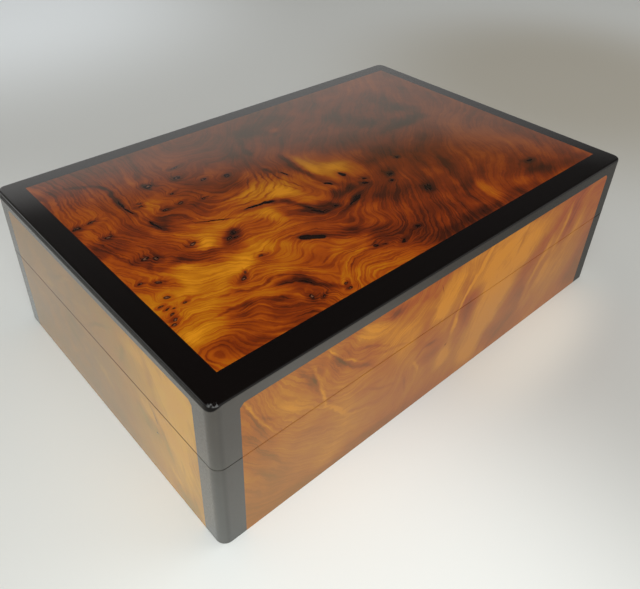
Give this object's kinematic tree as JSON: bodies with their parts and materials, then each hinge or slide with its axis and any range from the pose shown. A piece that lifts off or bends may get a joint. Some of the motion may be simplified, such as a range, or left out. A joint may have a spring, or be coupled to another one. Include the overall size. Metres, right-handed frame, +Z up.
{
  "type": "hinged keepsake box",
  "caption": "Rectangular keepsake box with a hinged lid, veneered in figured burl with black lippings round the top and down the rounded corners.",
  "frame": {"origin": "middle of the underside, with the lid shut", "axes": "+X along the length to the right seen from the front, +Y to the back where the hinges are, +Z up"},
  "size_m": [0.3, 0.2, 0.09],
  "materials": {
    "burl_veneer": "figured burl under high gloss lacquer",
    "ebonised_lipping": "ebonised hardwood under gloss lacquer",
    "carcass_wood": "planed cedar, waxed",
    "board_wood": "planed light wood, waxed",
    "felt": "short felt",
    "hinge_brass": "satin, lightly brushed",
    "screw_brass": "satin, turned"
  },
  "bodies": {
    "box_body": {"body_front_wall": "carcass_wood", "body_back_wall": "carcass_wood", "body_left_wall": "carcass_wood", "body_right_wall": "carcass_wood", "body_front_burl": "burl_veneer", "body_back_burl": "burl_veneer", "body_left_burl": "burl_veneer", "body_right_burl": "burl_veneer", "body_corner_front_left": "ebonised_lipping", "body_corner_front_right": "ebonised_lipping", "body_corner_back_left": "ebonised_lipping", "body_corner_back_right": "ebonised_lipping", "bottom_board": "board_wood", "base_lining": "felt", "left_hinge_body_leaf": "hinge_brass", "left_hinge_pin": "hinge_brass", "right_hinge_body_leaf": "hinge_brass", "right_hinge_pin": "hinge_brass", "body_hinge_screws": "screw_brass"},
    "lid": {"lid_front_wall": "carcass_wood", "lid_back_wall": "carcass_wood", "lid_left_wall": "carcass_wood", "lid_right_wall": "carcass_wood", "lid_front_burl": "burl_veneer", "lid_back_burl": "burl_veneer", "lid_left_burl": "burl_veneer", "lid_right_burl": "burl_veneer", "lid_corner_front_left": "ebonised_lipping", "lid_corner_front_right": "ebonised_lipping", "lid_corner_back_left": "ebonised_lipping", "lid_corner_back_right": "ebonised_lipping", "lid_board": "board_wood", "top_burl_panel": "burl_veneer", "top_edge_front": "ebonised_lipping", "top_edge_back": "ebonised_lipping", "top_edge_left": "ebonised_lipping", "top_edge_right": "ebonised_lipping", "left_hinge_lid_leaf": "hinge_brass", "right_hinge_lid_leaf": "hinge_brass", "lid_hinge_screws": "screw_brass"}
  },
  "joints": [
    {"name": "lid_hinge", "type": "hinge", "parent": "box_body", "child": "lid", "pos_m": [0, 0.0986, 0.052], "axis": [-1, 0, 0], "range_deg": [0, 96]}
  ]
}
